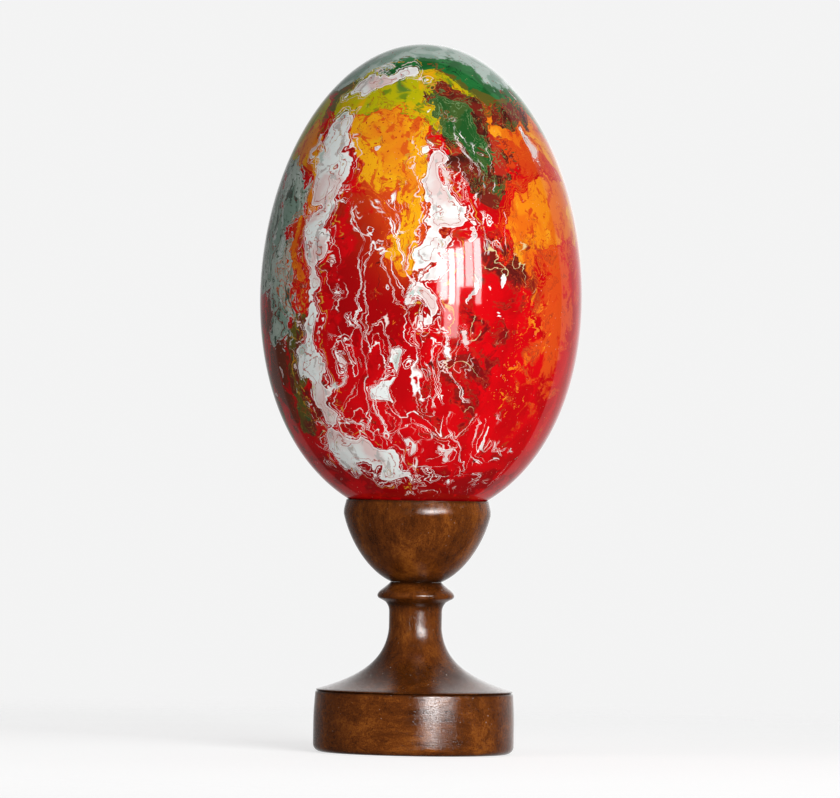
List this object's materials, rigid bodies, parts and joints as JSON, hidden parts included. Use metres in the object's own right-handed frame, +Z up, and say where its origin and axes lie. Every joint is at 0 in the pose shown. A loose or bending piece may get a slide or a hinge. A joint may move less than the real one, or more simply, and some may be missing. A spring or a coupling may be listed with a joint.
{
  "type": "decorated egg on turned stand",
  "caption": "Large marbled, lacquered wooden egg standing upright in the cup of a turned wooden stand; it turns on a hidden peg and lifts off.",
  "frame": {"origin": "on the table, on the turning axis, under the middle of the stand", "axes": "+Z up along the turning axis from the stand to the egg's narrow end; -Y is the front seen in the picture; +X is to the right of that view"},
  "size_m": [0.0798, 0.0798, 0.1756],
  "materials": {
    "stand_wood": "walnut-stained hardwood under a glossy clear lacquer",
    "peg_wood": "bare hardwood dowel",
    "marbled_lacquer": "turned wood dipped in marbled enamel, red with orange, green and white, under clear gloss lacquer"
  },
  "bodies": {
    "stand": {"base": "stand_wood", "pedestal": "stand_wood", "cup": "stand_wood"},
    "peg": {"egg_peg": "peg_wood"},
    "egg": {"egg": "marbled_lacquer"}
  },
  "joints": [
    {"name": "egg_turn", "type": "hinge", "parent": "stand", "child": "peg", "pos_m": [0, 0, 0.0565], "axis": [0, 0, 1], "continuous": true},
    {"name": "egg_lift", "type": "slide", "parent": "peg", "child": "egg", "axis": [0, 0, 1], "range_m": [0, 0.04]}
  ]
}
